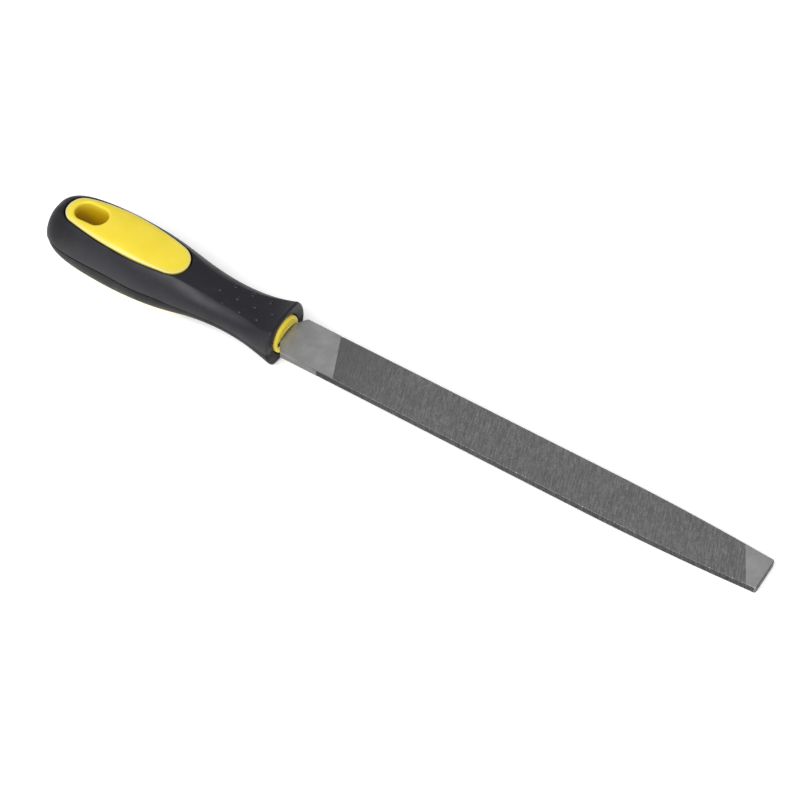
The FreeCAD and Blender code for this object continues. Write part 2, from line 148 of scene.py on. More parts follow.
# window and hanging hole
WINDOW_REAR = (-4.5, 7.1)
WINDOW_FRONT = (37.5, 7.7)
WINDOW_SIDE_RADIUS = 105.0
WINDOW_GAP = 0.5
WINDOW_EDGE_ROUNDING = 0.45
PAD_BEVEL_WIDTH = 0.9
PAD_BEVEL_DROP = 0.05
HOLE_HALF_LENGTH = 7.2
HOLE_HALF_WIDTH = 4.4
HOLE_ROUNDING = 1.0
# mould parting line on the sides, and the raised dots of the thumb rest
PARTING_FADE = (30.0, 46.0)
PARTING_GROOVE = 0.7
PARTING_STEP = 0.3
SEAM_TURNS = (0.015, 0.03, 0.045, 0.06)
DOT_FIRST = 59.9
DOT_PITCH = 7.94
DOT_ROW = 4.75
DOT_RADIUS = 0.95
DOT_HEIGHT = 0.4
# the dots' moat: its middle and width as shares of their radius, and its depth
MOAT_MIDDLE = 1.08
MOAT_WIDTH = 0.12
MOAT_DEPTH = 0.12
WELD = 1e-4


# ---------------------------------------------------------------- mesh helpers

def smoothstep(value, low, high):
    share = np.clip((value - low) / (high - low), 0, 1)
    return share * share * (3 - 2 * share)


def weld(parts):
    """Join (points, faces) parts into one, with points that coincide made one point."""
    points = []
    faces = []
    for part_points, part_faces in parts:
        first = len(points)
        points.extend(map(tuple, part_points))
        faces.extend(tuple(first + index for index in face) for face in part_faces)
    points = np.array(points, float)
    keys = np.round(points / WELD).astype(np.int64)
    kept, index_of = np.unique(keys, axis=0, return_inverse=True)
    index_of = index_of.ravel()
    place = np.zeros((len(kept), 3))
    place[index_of] = points
    joined = []
    for face in faces:
        ring = []
        for index in face:
            corner = int(index_of[index])
            if not ring or ring[-1] != corner:
                ring.append(corner)
        if len(ring) > 1 and ring[0] == ring[-1]:
            ring.pop()
        if len(set(ring)) == len(ring) and len(ring) > 2:
            joined.append(ring)
    return place, joined


def add_object(name, data):
    """A new object, linked to the scene."""
    added = bpy.data.objects.new(name, data)
    scene.collection.objects.link(added)
    return added


def make_piece(name, points, faces, materials, sharp_angle):
    """A mesh object in metres, faces turned outward, smooth but for edges sharper than the angle."""
    mesh = bpy.data.meshes.new(name)
    mesh.from_pydata((points * MM).tolist(), [], faces)
    builder = bmesh.new()
    builder.from_mesh(mesh)
    bmesh.ops.recalc_face_normals(builder, faces=builder.faces)
    for edge in builder.edges:
        edge.smooth = edge.calc_face_angle(0) < sharp_angle
    for face in builder.faces:
        face.smooth = True
    builder.to_mesh(mesh)
    builder.free()
    piece = add_object(name, mesh)
    for material in materials:
        mesh.materials.append(material)
    return piece


def mark(piece, name, values):
    """Store a number from 0 to 1 at each point of a mesh, for its material to read."""
    layer = piece.data.attributes.new(name, "FLOAT", "POINT")
    layer.data.foreach_set("value", np.clip(values, 0, 1).astype(np.float32))


def stack_rings(rings):
    """Closed rings of equally many points, one after another, joined by quads."""
    count = len(rings[0])
    faces = []
    for first in range(0, count * (len(rings) - 1), count):
        for k in range(count):
            after = (k + 1) % count
            faces.append((first + k, first + after, first + count + after, first + count + k))
    return np.concatenate(rings), faces


def triangulate(flat, edges, wanted):
    """Triangles over points in the plane that keep the given edges, where their middles are wanted."""
    result = delaunay_2d_cdt([Vector(point) for point in flat], edges, [], 0, 1e-7, True)
    origin = [ids[0] if ids else -1 for ids in result[3]]
    triangles = [tuple(origin[index] for index in face) for face in result[2]]
    good = wanted(flat[np.array(triangles)].mean(1))
    return [face for face, keep in zip(triangles, good) if keep]


def ring_edges(first, count):
    return [(first + k, first + (k + 1) % count) for k in range(count)]


def distance_to_edges(points, starts, ends):
    """Distance from each point to the outline that the edges make, less than zero inside it."""
    along = ends - starts
    length = (along ** 2).sum(1)
    best = np.full(len(points), np.inf)
    inside = np.zeros(len(points), bool)
    for start, step, size in zip(starts, along, length):
        offset = points - start
        share = np.clip(offset @ step / size, 0, 1)
        gap = offset - share[:, None] * step
        best = np.minimum(best, (gap ** 2).sum(1))
        end = start + step
        crosses = (start[1] > points[:, 1]) != (end[1] > points[:, 1])
        with np.errstate(divide="ignore", invalid="ignore"):
            reach = start[0] + (points[:, 1] - start[1]) / step[1] * step[0]
        inside ^= crosses & (points[:, 0] < reach)
    return np.where(inside, -1, 1) * np.sqrt(best)


def distance_to_ring(points, ring):
    return distance_to_edges(points, ring, np.roll(ring, -1, axis=0))


def between(points, outer, inner):
    """Which points are inside the outer ring and outside the inner one."""
    return (distance_to_ring(points, outer) < 0) & (distance_to_ring(points, inner) > 0)


# ---------------------------------------------------------------- the handle's skin

def spline(xs, ys, at):
    """A cubic through the points, level at the first and free at the last."""
    step = np.diff(xs)
    slope = np.diff(ys) / step
    count = len(xs)
    system = np.zeros((count, count))
    right = np.zeros(count)
    system[0, :2] = 2 * step[0], step[0]
    right[0] = 6 * slope[0]
    system[-1, -1] = 1
    for k in range(1, count - 1):
        system[k, k - 1:k + 2] = step[k - 1], 2 * (step[k - 1] + step[k]), step[k]
        right[k] = 6 * (slope[k] - slope[k - 1])
    bend = np.linalg.solve(system, right)
    k = np.clip(np.searchsorted(xs, at) - 1, 0, count - 2)
    after = at - xs[k]
    linear = slope[k] - step[k] * (2 * bend[k] + bend[k + 1]) / 6
    return ys[k] + after * (linear + after * (bend[k] / 2 + after * (bend[k + 1] - bend[k]) / (6 * step[k])))


class Skin:
    """A handle surface. A place on it is x and turn: turn runs 0 to 3 from a side at z = 0, over the corner
    (1 to 2), to the middle of the flat."""

    def __init__(self, stations, end):
        table = np.array(stations)
        self.xs = table[:, 0]
        self.sizes = [table[:, column] for column in range(1, 5)]
        self.belly = self.xs[0]
        self.end = end

    def at(self, x):
        """Half width, half height, half flat and corner radius there."""
        ahead = np.maximum(x, self.belly)
        width, height, flat, corner = [spline(self.xs, size, ahead) for size in self.sizes]
        share = np.clip((self.belly - x) / (self.belly - self.end), 0, 1)
        shrink = (1 - share ** BUTT_POWER) ** (1 / BUTT_POWER)
        flat_shrink = (1 - share ** BUTT_FLAT_POWER) ** (1 / BUTT_FLAT_POWER)
        growth = 1 + BUTT_CORNER_GROWTH * share
        return width * shrink, height * shrink, flat * flat_shrink, corner * growth * shrink

    def point(self, x, turn):
        """How far out and how high that place is."""
        width, height, flat, corner = self.at(x)
        bulge = np.maximum(width - flat, 0.01)
        side = (bulge ** 2 + height ** 2) / (2 * bulge)
        side_out = width - side
        crown_up = height - np.sqrt(CROWN_RADIUS ** 2 - flat ** 2)
        to_side = side - corner
        to_crown = CROWN_RADIUS - corner
        apart = np.hypot(side_out, crown_up)
        along = (to_side ** 2 - to_crown ** 2 + apart ** 2) / (2 * apart)
        off = np.sqrt(np.maximum(to_side ** 2 - along ** 2, 0))
        unit_out = -side_out / apart
        unit_up = crown_up / apart
        flip = np.where(along * unit_up + off * unit_out < 0, -1, 1)
        corner_out = side_out + along * unit_out - flip * off * unit_up
        corner_up = along * unit_up + flip * off * unit_out
        low = np.arctan2(corner_up, corner_out - side_out)
        high = np.arctan2(corner_up - crown_up, corner_out)
        first = turn * low
        second = low + (turn - 1) * (high - low)
        third = high + (turn - 2) * (np.pi / 2 - high)
        out = np.where(
            turn < 1, side_out + side * np.cos(first),
            np.where(turn < 2, corner_out + corner * np.cos(second), CROWN_RADIUS * np.cos(third)),
        )
        up = np.where(
            turn < 1, side * np.sin(first),
            np.where(turn < 2, corner_up + corner * np.sin(second), crown_up + CROWN_RADIUS * np.sin(third)),
        )
        return out, up

    def turn_at(self, x, out):
        """The turn at which the skin is that far out."""
        low = np.zeros(len(x))
        high = np.full(len(x), 3.0)
        for _ in range(44):
            middle = (low + high) / 2
            further = self.point(x, middle)[0] > out
            low = np.where(further, middle, low)
            high = np.where(further, high, middle)
        return low

    def height_at(self, x, y):
        return self.point(x, self.turn_at(x, np.abs(y)))[1]

    def place(self, x, lap):
        """A point of the top half: lap runs 0 to 6 from the -Y side over the top to the +Y side."""
        far = lap > 3
        out, up = self.point(x, np.where(far, 6 - lap, lap))
        return np.stack([x, np.where(far, out, -out), up], 1)

    def normal(self, x, lap):
        """Outward direction, from small steps along the skin."""
        step = 1e-3
        inner_x = np.clip(x, self.end + 2 * step, None)
        inner_lap = np.clip(lap, step, 6 - step)
        along = self.place(inner_x + step, inner_lap) - self.place(inner_x - step, inner_lap)
        round_ = self.place(inner_x, inner_lap + step) - self.place(inner_x, inner_lap - step)
        facing = np.cross(round_, along)
        facing /= np.linalg.norm(facing, axis=1)[:, None] + 1e-12
        outward = np.sign((facing * self.place(inner_x, inner_lap) * [0, 1, 1]).sum(1))
        return facing * np.where(outward == 0, 1, outward)[:, None]


outside = Skin(STATIONS, BUTT_END)
inner_stations = [(x, width - GRIP_WALL, height - GRIP_WALL, flat - GRIP_WALL, corner)
                  for x, width, height, flat, corner in STATIONS[:-2]]
inside = Skin(inner_stations + [NOSE_ROOT], BUTT_END + GRIP_WALL)

# about how many millimetres round the skin each lap lies, for well-shaped triangles
LAP_MARKS = np.array([0.0, 1.0, 2.0, 4.0, 5.0, 6.0])
LAP_LENGTHS = np.array([0.0, 12.0, 16.0, 32.0, 36.0, 48.0])


def egg(offset):
    """The window's outline, drawn that much larger all round: two end arcs and two long side arcs."""
    rear, rear_radius = WINDOW_REAR
    front, front_radius = WINDOW_FRONT
    spacing = front - rear
    reach = (
        (WINDOW_SIDE_RADIUS - rear_radius) ** 2 - (WINDOW_SIDE_RADIUS - front_radius) ** 2 + spacing ** 2
    ) / (2 * spacing)
    drop = math.sqrt((WINDOW_SIDE_RADIUS - rear_radius) ** 2 - reach ** 2)
    to_rear = math.atan2(drop, -reach)
    to_front = math.atan2(drop, spacing - reach)
    arcs = (
        (front, 0, front_radius, 0, to_front, 15),
        (rear + reach, -drop, WINDOW_SIDE_RADIUS, to_front, to_rear, 44),
        (rear, 0, rear_radius, to_rear, math.pi, 15),
    )
    half = []
    for centre_x, centre_y, radius, start, end, count in arcs:
        for angle in np.linspace(start, end, count, endpoint=False):
            half.append((centre_x + (radius + offset) * math.cos(angle),
                         centre_y + (radius + offset) * math.sin(angle)))
    half = np.array(half + [(rear - rear_radius - offset, 0)])
    return np.concatenate([half, half[-2:0:-1] * [1, -1]])


def slot_ring(half_length, half_width, count, side_count=6):
    """A slot with round ends, as a closed ring: count points on each end and side_count on each side."""
    run = half_length - half_width
    angles = np.linspace(-math.pi / 2, math.pi / 2, count)
    front = np.stack([run + half_width * np.cos(angles), half_width * np.sin(angles)], 1)
    side_x = np.linspace(run, -run, side_count + 2)[1:-1]
    side = np.stack([side_x, np.full(side_count, half_width)], 1)
    return np.concatenate([front, side, -front, -side])


def dot_centres():
    middle = [(DOT_FIRST + DOT_PITCH * k, 0.0) for k in range(4)]
    outer = [(DOT_FIRST + DOT_PITCH * (k + 0.5), side * DOT_ROW) for side in (-1, 1) for k in range(3)]
    return np.array(middle + outer)


def profile_length(skin, front):
    """Distance along the skin's side profile as a table of x and length, for even spacing round the butt."""
    shrink = np.linspace(0.16, 1, 60)[:-1]
    back = skin.belly - (skin.belly - skin.end) * (1 - shrink ** BUTT_POWER) ** (1 / BUTT_POWER)
    xs = np.concatenate([back, np.linspace(skin.belly, front, 400)])
    out = skin.at(xs)[0]
    return xs, np.concatenate([[0], np.cumsum(np.hypot(np.diff(xs), np.diff(out)))])


def half_sheet(skin, front, hole, rings, spacing, counts, dots):
    """The top half of a skin from the butt to front, with a window cut out along the hole outline.

    rings are outlines round the window that its edge needs, spacing is the distance between the grid's
    rows, counts are its steps over each turn, and dots are the centres that need fine points.
    Gives x and lap of its points, the hole's outline first, then triangles, and the grid's rows and laps.
    """
    xs, lengths = profile_length(skin, front)
    rows = np.interp(np.linspace(0, lengths[-1], int(lengths[-1] / spacing)), lengths, xs)
    quarter = np.concatenate([np.linspace(k, k + 1, counts[k], endpoint=False) for k in range(3)])
    near_seam = SEAM_TURNS if spacing < 1 else ()
    quarter = np.unique(np.concatenate([quarter, near_seam]))
    laps = np.concatenate([quarter, [3.0], 6 - quarter[::-1]])
    grid_x, grid_lap = [axis.ravel() for axis in np.meshgrid(rows, laps, indexing="ij")]
    flat_y = skin.place(grid_x, grid_lap)[:, 1]
    on_top = (grid_lap > 1) & (grid_lap < 5)
    clear = distance_to_ring(np.stack([grid_x, flat_y], 1), rings[-1] if len(rings) else hole)
    keep = ~on_top | (clear > 0.4)
    for centre in dots:
        apart = np.hypot(grid_x - centre[0], flat_y - centre[1])
        keep &= ~on_top | (apart > 1.45 * DOT_RADIUS)
    grid_x = grid_x[keep]
    grid_lap = grid_lap[keep]
    extra = [hole] + list(rings)
    for centre in dots:
        for share, count in ((1.3, 20), (1.1, 20), (0.9, 20), (0.7, 16), (0.45, 12), (0.2, 6)):
            angles = np.arange(count) * 2 * math.pi / count
            extra.append(centre + DOT_RADIUS * share * np.stack([np.cos(angles), np.sin(angles)], 1))
    extra = np.concatenate(extra)
    turn = skin.turn_at(extra[:, 0], np.abs(extra[:, 1]))
    extra_lap = np.where(extra[:, 1] > 0, 6 - turn, turn)
    x = np.concatenate([extra[:, 0], grid_x])
    lap = np.concatenate([extra_lap, grid_lap])
    flat = np.stack([np.interp(x, xs, lengths), np.interp(lap, LAP_MARKS, LAP_LENGTHS)], 1)
    flat_hole = flat[:len(hole)]
    edges = ring_edges(0, len(hole))
    triangles = triangulate(flat, edges, lambda middle: distance_to_ring(middle, flat_hole) > 0)
    return x, lap, triangles, rows, laps


def parting(x, lap, lower):
    """How far the skin is drawn in at the mould parting line. The lower half also steps in below it."""
    fade = 1 - smoothstep(x, *PARTING_FADE)
    away = np.minimum(lap, 6 - lap)
    depth = PARTING_GROOVE * (1 - smoothstep(away, SEAM_TURNS[1], SEAM_TURNS[2]))
    if lower:
        depth = np.maximum(depth, PARTING_STEP * (1 - smoothstep(away, 0.1, 0.9)))
    return fade * depth


def dot_rise(x, y):
    rise = np.zeros(len(x))
    for centre in dot_centres():
        share = np.hypot(x - centre[0], y - centre[1]) / DOT_RADIUS
        dome = DOT_HEIGHT * np.sqrt(np.clip(1 - share ** 2, 0, 1))
        moat = -MOAT_DEPTH * np.exp(-((share - MOAT_MIDDLE) / MOAT_WIDTH) ** 2)
        rise = np.maximum(rise, dome) + np.where(share < 1.4, moat, 0)
    return rise


def grip_part(lower):
    """Half of the rubber's outer skin and the wall of its window, with the skin's back row and its grid."""
    steps = (0.0, 0.07, 0.18, WINDOW_EDGE_ROUNDING)
    rings = [egg(step) for step in steps[1:]]
    x, lap, triangles, rows, laps = half_sheet(
        outside, STATIONS[-1][0] - LIP_ROUNDING, egg(0.0), rings, 0.85, (15, 7, 9), dot_centres())
    base = outside.place(x, lap)
    edge = distance_to_ring(base[:, :2], egg(0.0))
    near = np.clip(1 - np.maximum(edge, 0) / WINDOW_EDGE_ROUNDING, 0, 1)
    on_top = (lap > 1) & (lap < 5)
    drop = np.where(on_top, WINDOW_EDGE_ROUNDING * (1 - np.sqrt(1 - near ** 2)), 0)
    rise = np.where(on_top, dot_rise(x, base[:, 1]), 0)
    points = base + outside.normal(x, lap) * (rise - drop - parting(x, lap, lower))[:, None]
    points[(lap == 0) | (lap == 6), 2] = 0
    outline = egg(0.0)
    count = len(outline)
    floor = inside.height_at(outline[:, 0], outline[:, 1])
    top = points[:count]
    walls = [top]
    for share in (0.35, 0.7, 1.0):
        walls.append(top + (np.column_stack([outline, floor]) - top) * share)
    return (points, triangles), stack_rings(walls), points[x == rows[0]], rows, laps


def mirrored(part):
    points, faces = part
    return points * [1, 1, -1], [tuple(reversed(face)) for face in faces]


def whole_ring(points_top):
    """A closed ring from the top half's run, side to side, and its mirror image below."""
    return np.concatenate([points_top, points_top[-2:0:-1] * [1, 1, -1]])


def ring_at(skin, x, laps):
    return whole_ring(skin.place(np.full(len(laps), x), laps))


def butt_cap(skin, back, laps, edge=None):
    """Rings from the skin's rearmost row to a point at the very end. edge is that row as it really runs."""
    first = skin.at(np.array([back]))[0][0] / skin.sizes[0][0]
    shares = (1.0, 0.75, 0.5, 0.25)
    rings = []
    for share in shares:
        x = back
        if share < 1:
            reach = (1 - (first * share) ** BUTT_POWER) ** (1 / BUTT_POWER)
            x = skin.belly - (skin.belly - skin.end) * reach
        rings.append(ring_at(skin, x, laps))
    if edge is not None:
        shift = edge - rings[0]
        rings = [ring + shift * share for ring, share in zip(rings, shares)]
    points, faces = stack_rings(rings)
    count = len(rings[0])
    end = len(points)
    points = np.concatenate([points, [(skin.end, 0, 0)]])
    faces += [(end - count + k, end - count + (k + 1) % count, end) for k in range(count)]
    return points, faces


def circle_like(ring, x, radius):
    """The ring's directions, drawn as a circle about the X axis."""
    angles = np.arctan2(ring[:, 2], ring[:, 1])
    return np.stack([np.full(len(ring), x), radius * np.cos(angles), radius * np.sin(angles)], 1)


def inner_half(hole):
    return half_sheet(inside, NOSE_ROOT[0], hole, [], 1.7, (7, 4, 6), [])


def make_grip(material):
    upper, upper_wall, upper_back, rows, laps = grip_part(False)
    lower, lower_wall, lower_back, _, _ = grip_part(True)
    x, lap, triangles, inner_rows, inner_laps = inner_half(egg(0.0))
    lining = inside.place(x, lap), triangles
    back_edge = np.concatenate([upper_back, lower_back[-2:0:-1] * [1, 1, -1]])
    cap = butt_cap(outside, rows[0], laps, back_edge)
    # lip: round over the front edge, across the face and into the bore round the collar
    lip_x = STATIONS[-1][0]
    edge_ring = ring_at(outside, lip_x - LIP_ROUNDING, laps)
    rings = [edge_ring]
    lip_ring = ring_at(outside, lip_x, laps)
    reach = np.linalg.norm(lip_ring[:, 1:], axis=1)[:, None]
    for angle in np.linspace(0, math.pi / 2, 6)[1:]:
        ring = lip_ring.copy()
        inset = LIP_ROUNDING * (1 - math.cos(angle))
        blend = math.sin(angle)
        ring[:, 0] = lip_x - LIP_ROUNDING * (1 - blend)
        target = lip_ring[:, 1:] * (1 - inset / reach)
        ring[:, 1:] = edge_ring[:, 1:] + (target - edge_ring[:, 1:]) * blend ** 0.7
        rings.append(ring)
    bore = NOSE_RADIUS + COLLAR_GAP
    face_edge = rings[-1]
    face_run = circle_like(edge_ring, lip_x - 0.25, bore + 0.35) - face_edge
    for share in (0.35, 0.7, 1.0):
        rings.append(face_edge + face_run * share)
    rings.append(circle_like(edge_ring, lip_x - 0.38, bore + 0.1))
    rings.append(circle_like(edge_ring, lip_x - 0.7, bore))
    rings.append(circle_like(edge_ring, NOSE_ROOT[0], bore))
    lip = stack_rings(rings)
    inner_cap = butt_cap(inside, inner_rows[0], inner_laps)
    inner_front = ring_at(inside, NOSE_ROOT[0], inner_laps)
    step = flat_ring(rings[-1], inner_front)
    parts = [upper, upper_wall, mirrored(lower), mirrored(lower_wall), cap, lip, step,
             lining, mirrored(lining), inner_cap]
    place, faces = weld(parts)
    grip = make_piece("rubber_grip", place, faces, [material], math.radians(38))
    # painted shade: dark in the parting line, round the windows and in the collar's bore, duller low down
    # and at the butt
    x, y, z = place.T
    from_seam = np.abs(z)
    seam = (1 - smoothstep(from_seam, 0.38, 0.55)) * (1 - smoothstep(x, *PARTING_FADE))
    from_window = np.abs(distance_to_ring(place[:, :2], egg(0.0)))
    window = (1 - smoothstep(from_window, 0.1, 0.35)) * (from_seam > 5)
    collar_bore = (1 - smoothstep(np.hypot(y, z), bore + 0.05, bore + 0.3)) * (x > NOSE_ROOT[0] - 0.1)
    below = 0.75 * (1 - smoothstep(from_seam, 7, 13)) * (z < 0)
    butt = 0.45 * (1 - smoothstep(x, -14, 4))
    mark(grip, "painted_shade", np.max([seam, window, collar_bore, below, butt], axis=0))
    return grip


def flat_ring(outer, inner):
    """The flat face between two rings that lie in one plane square to X."""
    points = np.concatenate([outer, inner])
    edges = ring_edges(0, len(outer)) + ring_edges(len(outer), len(inner))
    return points, triangulate(
        points[:, 1:], edges, lambda middle: between(middle, outer[:, 1:], inner[:, 1:]))


def pad_top():
    """The yellow pad that fills the window, from its bevelled rim to the rounded rim of the hanging hole."""
    rim_steps = (0.0, 0.06, 0.16, 0.32, 0.5, 0.7, PAD_BEVEL_WIDTH, 1.35)
    rim = [egg(-WINDOW_GAP - step) for step in rim_steps]
    hole_steps = (0.0, 0.05, 0.16, 0.34, 0.58, 0.84, HOLE_ROUNDING, 1.45)
    holes = [slot_ring(HOLE_HALF_LENGTH + step, HOLE_HALF_WIDTH + step, 18) for step in hole_steps]
    spacing = 0.95
    across, along = np.meshgrid(np.arange(-10, 11) * spacing, np.arange(-14, 50) * spacing)
    along = along + (np.round(across / spacing) % 2) * spacing / 2
    grid = np.stack([along.ravel(), across.ravel()], 1)
    inner = distance_to_ring(grid, rim[-1]) < -0.45
    clear = distance_to_ring(grid, holes[-1]) > 0.45
    past_rim = rim.pop()
    past_hole = holes.pop()
    free_of_hole = distance_to_ring(past_rim, holes[-1]) > 0.3
    free_of_rim = distance_to_ring(past_hole, rim[-1]) < -0.3
    spread = [past_rim[free_of_hole], past_hole[free_of_rim], grid[inner & clear]]
    flat = np.concatenate(rim + holes + spread)
    rim_count = len(rim[0])
    hole_count = len(holes[0])
    hole_first = rim_count * len(rim)
    edges = ring_edges(0, rim_count) + ring_edges(hole_first, hole_count)
    triangles = triangulate(flat, edges, lambda middle: between(middle, rim[0], holes[0]))
    height = outside.height_at(flat[:, 0], flat[:, 1])
    from_rim = np.clip(-distance_to_ring(flat, rim[0]), 0, None)
    from_hole = np.clip(distance_to_ring(flat, holes[0]), 0, None)
    bevel = np.clip(1 - from_rim / PAD_BEVEL_WIDTH, 0, 1)
    height = height - PAD_BEVEL_DROP * (0.55 * bevel + 0.45 * bevel ** 4)
    height = height - 0.10 * np.clip(1 - from_rim / 0.2, 0, 1) ** 2
    rounding = np.clip(1 - from_hole / HOLE_ROUNDING, 0, 1)
    height = height - HOLE_ROUNDING * (1 - np.sqrt(1 - rounding ** 2))
    points = np.column_stack([flat, height])
    return points, triangles, rim_count, hole_first, hole_count


def make_core(material):
    points, triangles, rim_count, hole_first, hole_count = pad_top()
    pad = points, triangles
    rim = points[:rim_count]
    outline = rim[:, :2]
    floor = inside.height_at(outline[:, 0], outline[:, 1])
    low_rim = np.column_stack([outline, floor])
    wall = stack_rings([rim, rim + (low_rim - rim) * 0.5, low_rim])
    x, lap, body_triangles, rows, laps = inner_half(outline)
    body = inside.place(x, lap), body_triangles
    mouth_of_hole = points[hole_first:hole_first + hole_count]
    levels = [mouth_of_hole * [1, 1, share] for share in np.linspace(1, -1, 14)]
    tunnel = stack_rings(levels)
    cap = butt_cap(inside, rows[0], laps)
    # nose collar: flat back, rounded rim, flat face, oval mouth and its blind end
    root = ring_at(inside, NOSE_ROOT[0], laps)
    angles = np.linspace(0, 2 * math.pi, COLLAR_POINTS, endpoint=False)
    around = np.stack([np.cos(angles), np.sin(angles)], 1)
    collar = []

    def add_ring(ring_x, width, height):
        collar.append(np.column_stack([np.full(COLLAR_POINTS, ring_x), around * [width, height]]))

    add_ring(NOSE_ROOT[0], NOSE_RADIUS, NOSE_RADIUS)
    for angle in np.linspace(0, math.pi / 2, 7):
        radius = NOSE_RADIUS - NOSE_ROUNDING * (1 - math.cos(angle))
        add_ring(NOSE_FRONT - NOSE_ROUNDING * (1 - math.sin(angle)), radius, radius)
    rim_radius = NOSE_RADIUS - NOSE_ROUNDING
    # a shallow groove round the mouth, which runs out at its sides
    sunk = NOSE_FRONT - MOUTH_GROOVE_DEPTH * around[:, 1] ** 2
    for k, (ring_x, clear) in enumerate([(NOSE_FRONT, 2.0), (sunk, 1.6), (sunk, 0.6), (NOSE_FRONT, 0.4)]):
        add_ring(ring_x, rim_radius - 0.004 * (k + 1), MOUTH_HALF_HEIGHT + clear)
    for angle in np.linspace(math.pi / 2, 0, 6):
        grow = MOUTH_ROUNDING * (1 - math.cos(angle))
        grow_x = MOUTH_ROUNDING * (1 - math.sin(angle))
        width = min(MOUTH_HALF_WIDTH + grow, rim_radius - 0.02)
        add_ring(NOSE_FRONT - grow_x, width, MOUTH_HALF_HEIGHT + grow)
    add_ring(NOSE_FRONT - MOUTH_DEPTH, MOUTH_HALF_WIDTH, MOUTH_HALF_HEIGHT)
    add_ring(NOSE_FRONT - MOUTH_DEPTH, 0, 0)
    nose = stack_rings(collar)
    step = flat_ring(collar[0], root)
    parts = [pad, wall, body, mirrored(pad), mirrored(wall), mirrored(body), tunnel, cap, nose, step]
    place, faces = weld(parts)
    core = make_piece("plastic_core", place, faces, [material], math.radians(38))
    x, y, z = place.T
    from_rim = np.abs(distance_to_ring(place[:, :2], outline))
    depth = outside.height_at(np.minimum(x, 60), y) - np.abs(z)
    pad_rim = (1 - smoothstep(from_rim, 0.5, 1.3)) * (1 - smoothstep(depth, 0.6, 0.9))
    # the pads' rims are paler plastic; the pale ring round the collar's mouth is a painted highlight
    from_mouth = np.abs(np.hypot(y / MOUTH_HALF_WIDTH, z / MOUTH_HALF_HEIGHT) - 1)
    mouth_highlight = (1 - smoothstep(from_mouth, 0.15, 0.2)) * (x > NOSE_FRONT - 0.2)
    mark(core, "pale_rim_and_highlight", np.maximum(pad_rim, mouth_highlight))
    # painted shade that deepens down the hanging hole and into the collar's mouth
    past_run = np.maximum(np.abs(x) - (HOLE_HALF_LENGTH - HOLE_HALF_WIDTH), 0)
    in_hole = np.hypot(past_run, y) < HOLE_HALF_WIDTH + 0.05
    in_mouth = (x < NOSE_FRONT - 0.5) & (from_mouth < 0.05)
    mark(core, "hollow_shade", (in_hole | in_mouth) * smoothstep(depth, 0.8, 5))
    # painted shade in the crevice round the pads, on the wall just below their rims
    mark(core, "painted_shade", (1 - smoothstep(from_rim, 0.02, 0.1)) * smoothstep(depth, 0.35, 0.7))
    return core


# ---------------------------------------------------------------- the blade

def half_width_at(x):
    """Half the blade's width: straight, then two long arcs that run in to the tip."""
    narrowing = BLADE_HALF_WIDTH - TIP_HALF_WIDTH
    sweep = (TAPER_LENGTH ** 2 + narrowing ** 2) / (2 * narrowing)
    run = np.maximum(x - (TIP - TAPER_LENGTH), 0)
    return BLADE_HALF_WIDTH - (sweep - np.sqrt(sweep ** 2 - run ** 2))


def face_height(x):
    """Height of the blade's face, which thins along the tang."""
    share = np.clip((TANG_ROOT - x) / (TANG_ROOT - TANG_END), 0, 1)
    return BLADE_HALF_THICKNESS + (TANG_END_HALF_THICKNESS - BLADE_HALF_THICKNESS) * share


def scatter(first, second):
    """A repeatable number from 0 to 1 for two whole numbers."""
    value = np.sin(first * 12.9898 + second * 78.233) * 43758.5453
    return value - np.floor(value)


def line_x(line, y):
    (x0, y0), (x1, y1) = line
    return x0 + (x1 - x0) * (y - y0) / (y1 - y0)


def tooth_outline():
    """The toothed zone of a face, as a convex outline inside the arris."""
    sides = []
    for way in (1, -1):
        heel_x = line_x(TEETH_HEEL_LINE, way * BLADE_HALF_WIDTH)
        tip_x = line_x(TEETH_TIP_LINE, way * TIP_HALF_WIDTH)
        xs = np.concatenate([[heel_x], np.linspace(TIP - TAPER_LENGTH, tip_x, 9)])
        side = np.stack([xs, way * (half_width_at(xs) - TOOTH_INSET)], 1)
        side[0, 0] = line_x(TEETH_HEEL_LINE, side[0, 1])
        side[-1, 0] = line_x(TEETH_TIP_LINE, side[-1, 1])
        sides.append(side)
    return np.concatenate([sides[0], sides[1][::-1]])


